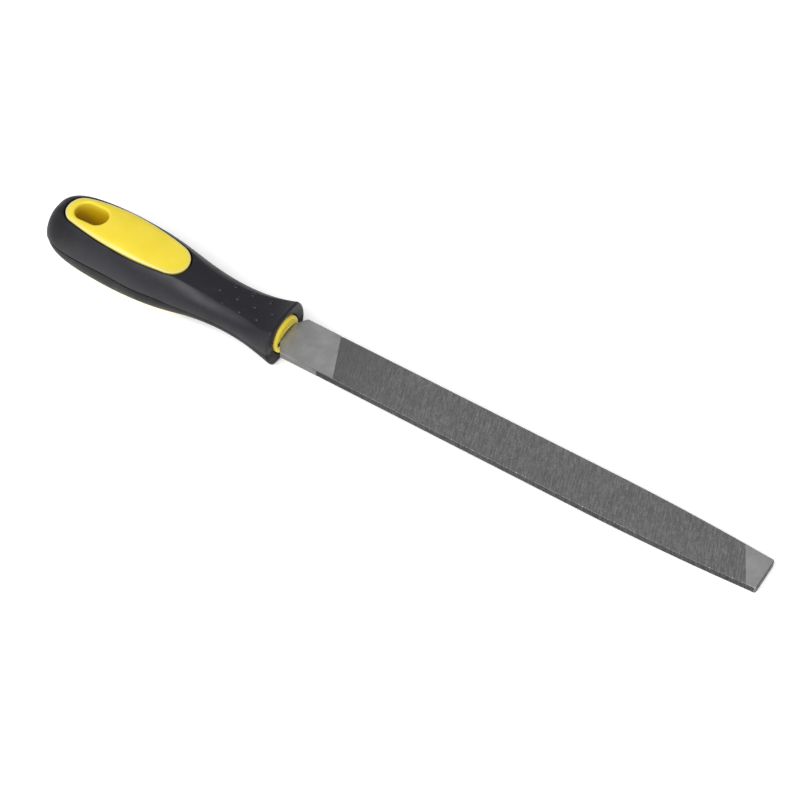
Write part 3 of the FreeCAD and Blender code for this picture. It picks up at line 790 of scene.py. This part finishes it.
def tooth_lattice():
    """The double-cut teeth as one sheet, clipped to the toothed zone: points, faces and border edges."""
    up = np.array([math.cos(UPCUT_TURN), math.sin(UPCUT_TURN)]) / UPCUT_PITCH
    over = np.array([math.cos(OVERCUT_TURN), math.sin(OVERCUT_TURN)]) / OVERCUT_PITCH
    back = np.linalg.inv(np.array([up, over]))
    outline = tooth_outline()
    counts = outline @ np.array([up, over]).T
    low = np.floor(counts.min(0)).astype(int) - 1
    high = np.ceil(counts.max(0)).astype(int) + 1
    rows = np.arange(low[0], high[0])
    cols = np.arange(low[1], high[1])
    along = np.stack([rows, rows + CREST_SHARE], 1).ravel()
    across = np.stack([cols, cols + GROOVE_SHARE, cols + 1 - GROOVE_SHARE], 1).ravel()
    row, col = np.meshgrid(np.arange(len(along)), np.arange(len(across)), indexing="ij")
    place = np.stack([along[row], across[col]], -1) @ back.T
    tooth = row // 2
    crest = row % 2 == 1
    groove = col % 3 == 0
    wave = UPCUT_DEPTH * (1 - UPCUT_SPREAD * scatter(tooth, 3.0))
    wear = PATCH_WEAR * scatter(tooth, col // 9)
    low_crest = ROW_DROP * (tooth % 2) + wear + TOOTH_WEAR * scatter(tooth, 7.0 + col // 3)
    drop = np.where(crest, np.where(groove, OVERCUT_DEPTH, low_crest), wave)
    points = np.concatenate([place, (BLADE_HALF_THICKNESS - drop)[..., None]], -1)
    near = distance_to_ring(place.reshape(-1, 2), outline).reshape(row.shape) < 1.2
    wanted = near[:-1, :-1] & near[1:, :-1] & near[:-1, 1:] & near[1:, 1:]
    width = len(across)
    corner = (np.arange(len(along) - 1)[:, None] * width + np.arange(width - 1)[None, :])[wanted]
    quads = np.stack([corner, corner + width, corner + width + 1, corner + 1], 1)
    used, index_of = np.unique(quads, return_inverse=True)
    mesh = bpy.data.meshes.new("teeth")
    mesh.from_pydata(points.reshape(-1, 3)[used].tolist(), [], index_of.reshape(-1, 4).tolist())
    builder = bmesh.new()
    builder.from_mesh(mesh)
    for start, end in zip(outline, np.roll(outline, -1, axis=0)):
        run = end - start
        outward = Vector((-run[1], run[0], 0)).normalized()
        centre = outline.mean(0)
        if outward.dot(Vector((start[0] - centre[0], start[1] - centre[1], 0))) < 0:
            outward = -outward
        geometry = builder.verts[:] + builder.edges[:] + builder.faces[:]
        bmesh.ops.bisect_plane(builder, geom=geometry, dist=1e-5, plane_co=Vector((*start, 0)),
                               plane_no=outward, clear_outer=True)
    builder.verts.index_update()
    builder.to_mesh(mesh)
    points = np.array([vertex.co[:] for vertex in builder.verts])
    faces = [tuple(vertex.index for vertex in face.verts) for face in builder.faces]
    border = [tuple(vertex.index for vertex in edge.verts) for edge in builder.edges if edge.is_boundary]
    builder.free()
    bpy.data.meshes.remove(mesh)
    return points, faces, border


def side_run():
    """One edge of the blade from the tang's end to the tip: x, y and how far a slanted cut shifts it."""
    run = [(TANG_END, TANG_END_HALF_WIDTH, 0), (TANG_ROOT, TANG_ROOT_HALF_WIDTH, 0),
           (HEEL, BLADE_HALF_WIDTH, 0)]
    for x in np.linspace(HEEL, EDGE_TEETH_START, 8)[1:]:
        run.append((x, float(half_width_at(x)), 0))
    count = int((EDGE_TEETH_END - EDGE_TEETH_START) / EDGE_PITCH)
    for k in range(count):
        root = EDGE_TEETH_START + 0.1 + EDGE_PITCH * k
        crest = root + EDGE_PITCH * CREST_SHARE
        depth = EDGE_DEPTH * (0.8 + 0.4 * float(scatter(k, 5.0)))
        run.append((root, float(half_width_at(root)) - depth, EDGE_SLANT))
        run.append((crest, float(half_width_at(crest)) - 0.03 * float(scatter(k, 9.0)), EDGE_SLANT))
    for angle in np.linspace(math.pi / 2, 0, 6):
        run.append((TIP - TIP_CORNER_RADIUS * (1 - math.cos(angle)),
                    TIP_HALF_WIDTH - TIP_CORNER_RADIUS * (1 - math.sin(angle)), 0))
    run.append((TIP, TIP_HALF_WIDTH / 3, 0))
    return np.array(run)


def plate_outline(line, heel):
    """The smooth plate at the heel or the tip, inside its bevel, as a closed outline."""
    inset = ARRIS_WIDTH
    gap = HEEL_PLATE_GAP if heel else TIP_PLATE_GAP
    if heel:
        top = BLADE_HALF_WIDTH - inset
        half = [(TANG_END + inset, TANG_END_HALF_WIDTH - inset),
                (TANG_ROOT + inset / 2, TANG_ROOT_HALF_WIDTH - inset), (HEEL + inset / 2, top)]
        far = half + [(line_x(line, top) - gap, top)]
        near = [(x, -y) for x, y in half] + [(line_x(line, -top) - gap, -top)]
    else:
        corner = TIP_CORNER_RADIUS - inset
        arc = [(TIP - TIP_CORNER_RADIUS + corner * math.cos(angle),
                TIP_HALF_WIDTH - TIP_CORNER_RADIUS + corner * math.sin(angle))
               for angle in np.linspace(0, math.pi / 2, 5)]
        far_start = line_x(line, TIP_HALF_WIDTH) + gap
        near_start = line_x(line, -TIP_HALF_WIDTH) + gap
        far_x = np.linspace(far_start, arc[-1][0], 4)[:-1]
        near_x = np.linspace(near_start, arc[-1][0], 3)[:-1]
        far = arc + [(x, float(half_width_at(x)) - inset) for x in far_x[::-1]]
        near = [(x, -y) for x, y in arc] + [(x, -float(half_width_at(x)) + inset) for x in near_x[::-1]]
    start, end = far[-1], near[-1]
    across = [(start[0] + (end[0] - start[0]) * k / 12, start[1] + (end[1] - start[1]) * k / 12)
              for k in range(1, 12)]
    return np.array(far + across + near[::-1])


def blade_cap():
    """The top of the blade: outer loop, bevels, smooth plates and teeth. Gives the loop's length first."""
    run = side_run()
    far = np.column_stack([run[:, 0] - run[:, 2], run[:, 1]])
    near = np.column_stack([run[:, 0] + run[:, 2], -run[:, 1]])
    loop = np.concatenate([far, near[::-1]])
    heel = plate_outline(TEETH_HEEL_LINE, True)
    tip = plate_outline(TEETH_TIP_LINE, False)
    teeth, tooth_faces, border = tooth_lattice()
    on_border = sorted({index for edge in border for index in edge})
    first = len(loop) + len(heel) + len(tip)
    order = {index: first + k for k, index in enumerate(on_border)}
    flat = np.concatenate([loop, heel, tip, teeth[on_border][:, :2]])
    height = np.concatenate([
        face_height(loop[:, 0]) - ARRIS_DROP, face_height(heel[:, 0]), face_height(tip[:, 0]),
        teeth[on_border][:, 2],
    ])
    edges = ring_edges(0, len(loop)) + ring_edges(len(loop), len(heel))
    edges += ring_edges(len(loop) + len(heel), len(tip))
    edges += [(order[a], order[b]) for a, b in border]
    # the fold across the tang's root, where the faces start to thin
    edges.append((len(loop) + 1, len(loop) + len(heel) - 2))
    starts, ends = teeth[np.array(border)][..., :2].swapaxes(0, 1)
    triangles = triangulate(flat, edges, lambda middle: (
        (distance_to_ring(middle, loop) < 0) & (distance_to_edges(middle, starts, ends) > 0)))
    return len(loop), np.column_stack([flat, height]), triangles, teeth, tooth_faces


def make_blade(materials):
    count, points, triangles, teeth, tooth_faces = blade_cap()
    cap = points, triangles
    toothed = teeth, tooth_faces
    turned = [(part[0] * [1, -1, -1], part[1]) for part in (cap, toothed)]
    top = points[:count]
    bottom = (top * [1, -1, -1])[::-1]
    wall = stack_rings([top, bottom])
    place, faces = weld([cap, toothed] + turned + [wall])
    blade = make_piece("toothed_blade", place, faces, materials, math.radians(20))
    mesh = blade.data
    centres = np.zeros(len(mesh.polygons) * 3)
    mesh.polygons.foreach_get("center", centres)
    x, y, z = centres.reshape(-1, 3).T / MM
    # the underside is the top turned over about the X axis
    top_y = y * np.sign(z)
    on_face = (distance_to_ring(np.stack([x, top_y], 1), tooth_outline()) < 0) & (np.abs(z) > 1)
    on_edge = (np.abs(z) < 0.5) & (np.abs(y) > TIP_HALF_WIDTH - 1)
    toothed_edge = on_edge & (x > EDGE_TEETH_START) & (x < EDGE_TEETH_END)
    on_rim = np.abs(y) > half_width_at(x) - ARRIS_WIDTH
    on_rim |= x > TIP - ARRIS_WIDTH
    on_side = np.abs(z) < face_height(x) - ARRIS_DROP - 0.01
    beside_teeth = (x > line_x(TEETH_HEEL_LINE, top_y)) & (x < line_x(TEETH_TIP_LINE, top_y))
    # painted shade: the bevel round the heel and tip plates and the narrow sides take the darker edge steels
    slots = np.where(on_rim, np.where(beside_teeth, WORN_ARRIS, SHADED_GROUND_EDGE), GROUND_FACE)
    slots[on_side] = SHADED_GROUND_EDGE
    slots[toothed_edge | (x > TIP - 0.02)] = SHADED_CUT_EDGE
    slots[on_face] = CUT_FACE
    mesh.polygons.foreach_set("material_index", slots.astype(np.int32))
    return blade


# ---------------------------------------------------------------- materials

class Recipe:
    """A procedural material on a Principled shader, textured in millimetres of the object's own space."""

    def __init__(self, name, **values):
        self.material = bpy.data.materials.new(name)
        self.material.use_nodes = True
        self.tree = self.material.node_tree
        self.shader = self.tree.nodes["Principled BSDF"]
        self.fill(self.shader, values)
        self.space = self.node("TexCoord").outputs["Object"]

    def fill(self, node, values):
        """Set input sockets, whose names are written with underscores for spaces."""
        for socket, value in values.items():
            node.inputs[socket.replace("_", " ")].default_value = value

    def node(self, kind, **values):
        node = self.tree.nodes.new("ShaderNode" + kind)
        self.fill(node, values)
        return node

    def link(self, output, node, socket):
        self.tree.links.new(output, node.inputs[socket])

    def along(self):
        """Distance along the tool, in metres."""
        node = self.node("SeparateXYZ")
        self.link(self.space, node, "Vector")
        return node.outputs["X"]

    def noise(self, size, stretch=(1, 1, 1), detail=3.0, turn=0.0):
        """Noise whose grains are about size millimetres, drawn out along the axes by stretch."""
        scale = [size * MM * axis for axis in stretch]
        mapping = self.node("Mapping", Scale=scale, Rotation=(0, 0, turn))
        mapping.vector_type = "TEXTURE"
        self.link(self.space, mapping, "Vector")
        texture = self.node("TexNoise", Scale=1.0, Detail=detail)
        self.link(mapping.outputs["Vector"], texture, "Vector")
        return texture.outputs["Fac"]

    def marked(self, name):
        """The numbers stored on the mesh under that name."""
        node = self.node("Attribute")
        node.attribute_name = name
        return node.outputs["Fac"]

    def span(self, source, low, high, start=0.3, end=0.7):
        """The source's middle range, from start to end, spread from low to high."""
        node = self.node("MapRange", From_Min=start, From_Max=end, To_Min=low, To_Max=high)
        self.link(source, node, "Value")
        return node.outputs["Result"]

    def blend(self, factor, first, second):
        """A colour between two, each a colour or another blend."""
        node = self.node("Mix")
        node.data_type = "RGBA"
        self.link(factor, node, "Factor")
        for value, socket in ((first, 6), (second, 7)):
            if isinstance(value, tuple):
                node.inputs[socket].default_value = (*value, 1)
            else:
                self.tree.links.new(value, node.inputs[socket])
        return node.outputs[2]

    def colour(self, source):
        self.link(source, self.shader, "Base Color")

    def roughness(self, source):
        self.link(source, self.shader, "Roughness")

    def bump(self, source, height):
        """Relief that many millimetres high, added to any that is already there."""
        node = self.node("Bump", Distance=height * MM, Strength=1.0)
        self.link(source, node, "Height")
        below = self.shader.inputs["Normal"]
        if below.is_linked:
            self.link(below.links[0].from_socket, node, "Normal")
        self.link(node.outputs["Normal"], self.shader, "Normal")


def ground_steel(name, dark, light):
    """Dull ground steel with fine lines across and faint smudges."""
    recipe = Recipe(name, Metallic=1.0)
    smudge = recipe.span(recipe.noise(5, detail=5), 0, 1)
    lines = recipe.span(recipe.noise(0.3, stretch=(1, 12, 12), detail=2), 0, 0.6)
    tone = recipe.blend(smudge, dark, light)
    recipe.colour(recipe.blend(lines, tone, dark))
    recipe.roughness(recipe.span(recipe.noise(4, detail=5), 0.42, 0.54))
    recipe.bump(lines, 0.005)
    return recipe.material


def cut_steel(name, dark, middle, light):
    """Toothed steel: darker and rougher, streaked along the rows of teeth."""
    recipe = Recipe(name, Metallic=1.0)
    streak = recipe.noise(0.55, stretch=(1, 6, 6), detail=2, turn=UPCUT_TURN)
    streak = recipe.span(streak, 0, 1, 0.35, 0.65)
    patches = recipe.span(recipe.noise(12, detail=4), 0, 1)
    grains = recipe.span(recipe.noise(0.6, detail=2), 0, 1, 0.4, 0.75)
    near_heel = recipe.span(recipe.along(), 0.9, 0, TEETH_HEEL_LINE[0][0] * MM, (HEEL + 50) * MM)
    tone = recipe.blend(patches, dark, middle)
    tone = recipe.blend(streak, tone, light)
    tone = recipe.blend(grains, tone, dark)
    recipe.colour(recipe.blend(near_heel, tone, dark))
    recipe.roughness(recipe.span(recipe.noise(1.5, detail=4), 0.4, 0.55))
    recipe.bump(grains, 0.008)
    return recipe.material


def black_rubber():
    """Moulded rubber: fine even grain, faint cloudy sheen, a little dust, and painted shade that makes it
    dead black in the crevices.
    """
    recipe = Recipe("black_rubber")
    cloud = recipe.span(recipe.noise(16, detail=3), 0, 1)
    dust = recipe.span(recipe.noise(2.2, detail=6), 0, 1, 0.55, 0.8)
    tone = recipe.blend(cloud, (0.0065, 0.0058, 0.0100), (0.0095, 0.0088, 0.0130))
    tone = recipe.blend(dust, tone, (0.0150, 0.0145, 0.0180))
    # painted shade: near black colour and little specular where the mesh is marked
    painted_shade = recipe.marked("painted_shade")
    recipe.colour(recipe.blend(painted_shade, tone, (0.003, 0.003, 0.003)))
    recipe.link(recipe.span(painted_shade, 0.38, 0.03, 0, 1), recipe.shader, "Specular IOR Level")
    recipe.roughness(recipe.span(recipe.noise(7, detail=5), 0.42, 0.54))
    recipe.bump(recipe.noise(0.3, detail=2), 0.010)
    return recipe.material


def yellow_plastic():
    """Satin moulded plastic: pale at the pads' rims, a painted highlight round the collar's mouth, painted
    shade deep in its hollows and in the crevice round the pads.
    """
    recipe = Recipe("yellow_plastic", Specular_IOR_Level=0.42)
    cloud = recipe.span(recipe.noise(11, detail=3), 0, 1)
    scuff = recipe.span(recipe.noise(1.4, stretch=(2.5, 1, 1), detail=5), 0, 1, 0.6, 0.85)
    tone = recipe.blend(cloud, (0.73, 0.575, 0.030), (0.79, 0.625, 0.047))
    tone = recipe.blend(scuff, tone, (0.78, 0.64, 0.07))
    # painted shade deep in the hanging hole and the collar's mouth
    tone = recipe.blend(recipe.marked("hollow_shade"), tone, (0.55, 0.35, 0.003))
    # paler pad rims, and a painted highlight round the collar's mouth
    tone = recipe.blend(recipe.marked("pale_rim_and_highlight"), tone, (0.66, 0.585, 0.17))
    # painted shade in the crevice round the pads
    recipe.colour(recipe.blend(recipe.marked("painted_shade"), tone, (0.05, 0.03, 0.004)))
    recipe.roughness(recipe.span(recipe.noise(5, detail=4), 0.34, 0.46))
    recipe.bump(recipe.noise(1.1, detail=2), 0.008)
    return recipe.material


def pale_floor():
    recipe = Recipe("pale_floor", Roughness=0.9, Emission_Color=(1, 1, 1, 1), Emission_Strength=0.25)
    recipe.colour(recipe.blend(recipe.noise(60, detail=2), (0.93, 0.93, 0.93), (0.95, 0.95, 0.95)))
    return recipe.material


# ---------------------------------------------------------------- camera, floor and light

VIEW_TURN = math.radians(32.56)
VIEW_RISE = math.radians(52.72)
VIEW_DISTANCE = 982.3
VIEW_LENS = 119.3
AIM = Vector((TIP - 150.66, -3.22, 0.0)) * MM


def make_camera():
    data = bpy.data.cameras.new("camera")
    data.lens = VIEW_LENS
    camera = add_object("camera", data)
    back = Vector((
        math.sin(VIEW_TURN) * math.cos(VIEW_RISE),
        -math.cos(VIEW_TURN) * math.cos(VIEW_RISE),
        math.sin(VIEW_RISE),
    ))
    camera.location = AIM + back * VIEW_DISTANCE * MM
    camera.rotation_euler = back.to_track_quat("Z", "Y").to_euler()
    scene.camera = camera


def area_light(name, place, target, size, power):
    """A softbox at place facing target. Distances in metres, power in watts."""
    data = bpy.data.lights.new(name, "AREA")
    data.shape = "RECTANGLE"
    data.size, data.size_y = size
    data.energy = power
    light = add_object(name, data)
    light.location = place
    light.rotation_euler = (Vector(place) - Vector(target)).to_track_quat("Z", "Y").to_euler()


def make_floor():
    """A wide plane that the handle's belly and the blade's tip both touch."""
    reach = 4.0
    belly_x = STATIONS[0][0] * MM
    belly_z = cad_low.z
    tip_z = -BLADE_HALF_THICKNESS * MM
    slope = (tip_z - belly_z) / (TIP * MM - belly_x)
    corners = [(x, y, belly_z + slope * (x - belly_x) - 1e-4) for x, y in
               ((-reach, -reach), (reach, -reach), (reach, reach), (-reach, reach))]
    mesh = bpy.data.meshes.new("floor")
    mesh.from_pydata(corners, [], [(0, 1, 2, 3)])
    mesh.materials.append(pale_floor())
    floor = add_object("floor", mesh)


def make_light():
    world = bpy.data.worlds.new("studio")
    scene.world = world
    world.use_nodes = True
    background = world.node_tree.nodes["Background"]
    background.inputs["Color"].default_value = (1, 1, 1, 1)
    background.inputs["Strength"].default_value = 0.46
    target = (0.13, 0, 0)
    area_light("key_softbox", (0.1, -1.0, 1.25), target, (1.5, 1.1), 29)
    area_light("left_softbox", (-1.1, -0.3, 0.5), target, (0.8, 0.8), 1.2)
    area_light("rim_strip", (0.1, 1.3, 0.22), target, (1.6, 0.25), 1.2)
    scene.view_settings.view_transform = "Standard"


# ---------------------------------------------------------------- the object

make_camera()
make_floor()
make_light()
blade = make_blade([
    ground_steel("ground_face_steel", (0.425, 0.425, 0.43), (0.53, 0.53, 0.535)),
    cut_steel("cut_face_steel", (0.20, 0.20, 0.202), (0.24, 0.24, 0.242), (0.35, 0.35, 0.35)),
    # the edge steels are darker copies of the face steels, painted shade on the narrow sides; the toothed
    # edge is cut steel made darker still
    cut_steel("shaded_cut_edge_steel", (0.035, 0.035, 0.036), (0.055, 0.055, 0.056), (0.11, 0.11, 0.11)),
    ground_steel("shaded_ground_edge_steel", (0.17, 0.17, 0.172), (0.21, 0.21, 0.212)),
    ground_steel("worn_arris_steel", (0.38, 0.38, 0.382), (0.46, 0.46, 0.462)),
])
grip = make_grip(black_rubber())
core = make_core(yellow_plastic())
for piece, node, slot in (
    (blade, "file_blade", "file_steel"),
    (grip, "handle_grip", "black_rubber"),
    (core, "handle_core", "yellow_plastic"),
):
    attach(piece, "root")
    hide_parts(node)
